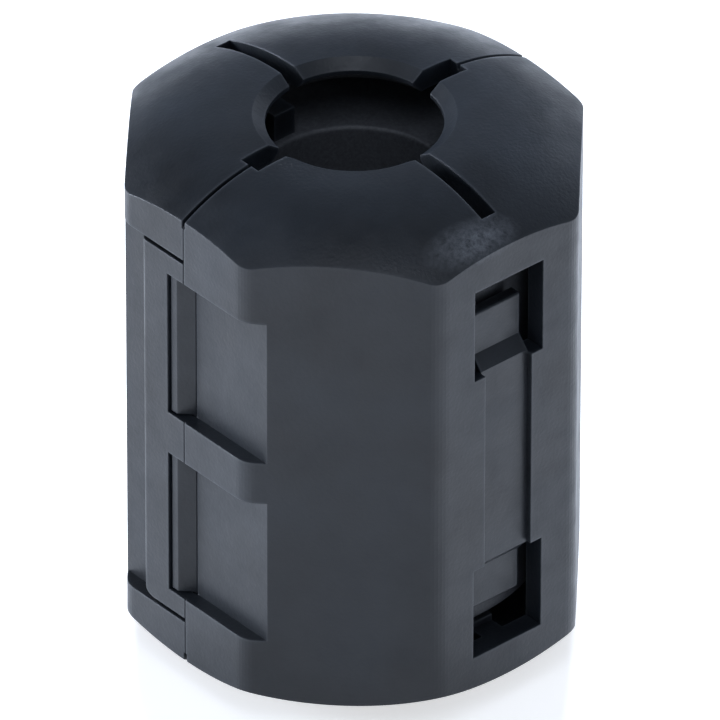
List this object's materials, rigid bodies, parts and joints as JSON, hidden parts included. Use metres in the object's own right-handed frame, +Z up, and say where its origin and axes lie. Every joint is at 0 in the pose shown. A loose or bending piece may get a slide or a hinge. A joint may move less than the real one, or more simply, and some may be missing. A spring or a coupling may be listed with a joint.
{
  "type": "clip-on ferrite bead",
  "caption": "Octagonal clip-on cable ferrite: two hinged plastic half shells with a latch strap, slotted domed ends and windows, closed round two half cores of sintered ferrite.",
  "frame": {"origin": "centre of the lower rim, on the cable axis; the bead stands on that rim", "axes": "+Z up along the cable axis; the shells part on the plane Y = 0; -X is the latch face, +X the hinge face, -Y the window face of the shell that carries the strap"},
  "size_m": [0.0294, 0.0306, 0.039],
  "materials": {
    "moulded_nylon": "injection moulded nylon, charcoal, fine matte texture",
    "sintered_ferrite": "sintered ferrite, dark grey, fine grain, ground mating faces"
  },
  "bodies": {
    "rear_half": {"rear_shell": "moulded_nylon", "rear_core": "sintered_ferrite", "hinge_film": "moulded_nylon"},
    "front_half": {"front_shell": "moulded_nylon", "front_core": "sintered_ferrite"}
  },
  "joints": [
    {"name": "case_hinge", "type": "hinge", "parent": "rear_half", "child": "front_half", "pos_m": [0.0147, 0, 0.0195], "axis": [0, 0, 1], "range_deg": [0, 150]}
  ]
}
